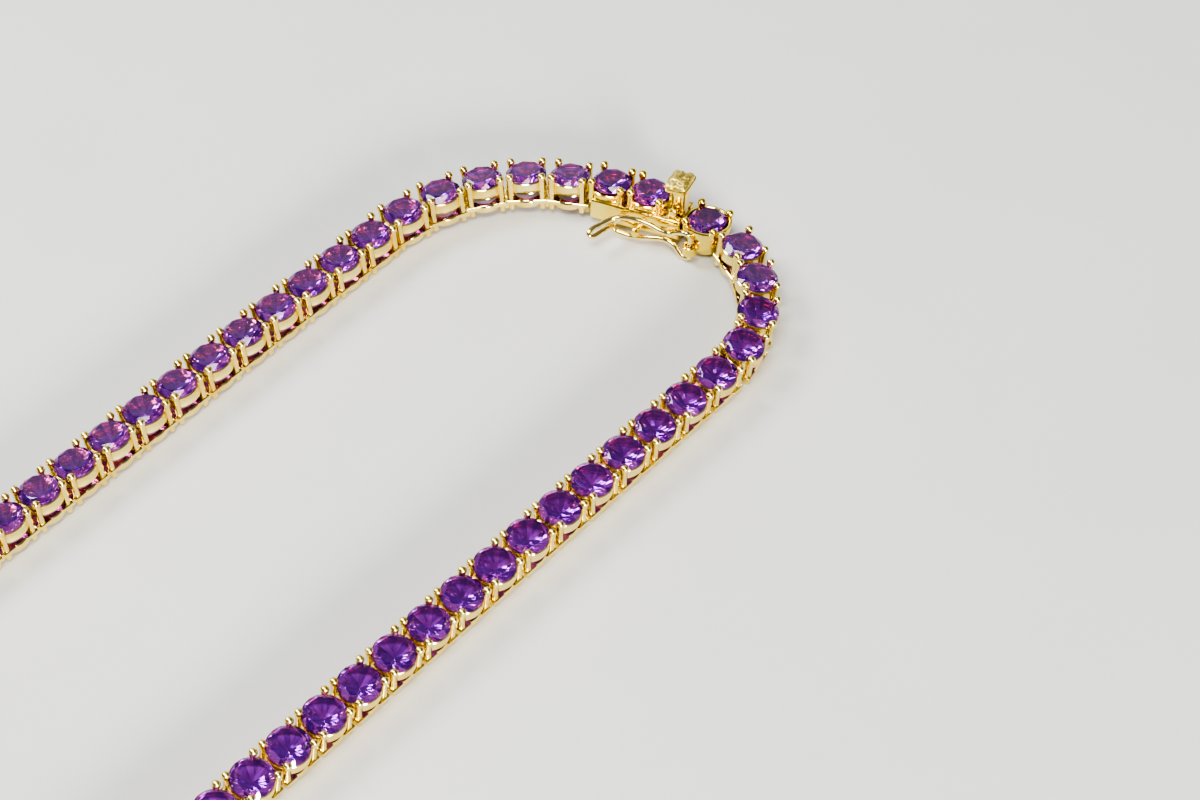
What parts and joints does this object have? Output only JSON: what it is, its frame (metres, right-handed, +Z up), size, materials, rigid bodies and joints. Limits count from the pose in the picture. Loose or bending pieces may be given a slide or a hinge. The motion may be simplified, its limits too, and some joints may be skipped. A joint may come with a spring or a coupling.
{
  "type": "tennis necklace",
  "caption": "Closed necklace of round purple stones in four-prong gold baskets, with a box clasp, thumb tab and figure-of-eight safety catch.",
  "frame": {"origin": "middle of the loop's footprint, on the surface that it lies on", "axes": "+Y along the loop toward the clasp, +Z up, +X toward the strand on the tongue's side"},
  "size_m": [0.0638, 0.181, 0.0101],
  "materials": {
    "chain_gold": "polished yellow gold; the chain's faceted stones are fused to it and take their purple in the drawn model",
    "clasp_gold": "polished yellow gold",
    "tab_gold": "granular yellow gold head on a polished stem",
    "catch_gold": "polished yellow gold wire",
    "stone": "clear purple, facet polished"
  },
  "bodies": {
    "necklace": {"chain_far": "chain_gold", "chain_near": "chain_gold", "clasp_box": "clasp_gold", "box_stone_1": "stone", "box_stone_2": "stone", "tongue_end": "clasp_gold", "tongue_stone": "stone"},
    "thumb_tab": {"thumb_tab": "tab_gold"},
    "safety_catch": {"safety_catch": "catch_gold"}
  },
  "joints": [
    {"name": "catch_swing", "type": "hinge", "parent": "necklace", "child": "safety_catch", "pos_m": [0.0079, 0.08214, 0.00201], "axis": [-0.0687, 0.1962, 0.9781], "range_deg": [0, 100]},
    {"name": "tab_press", "type": "hinge", "parent": "necklace", "child": "thumb_tab", "pos_m": [-0.00866, 0.08194, 0.00211], "axis": [-0.3233, 0.9232, -0.2079], "range_deg": [0, 2.5], "stiffness_Nm_per_rad": 1}
  ]
}
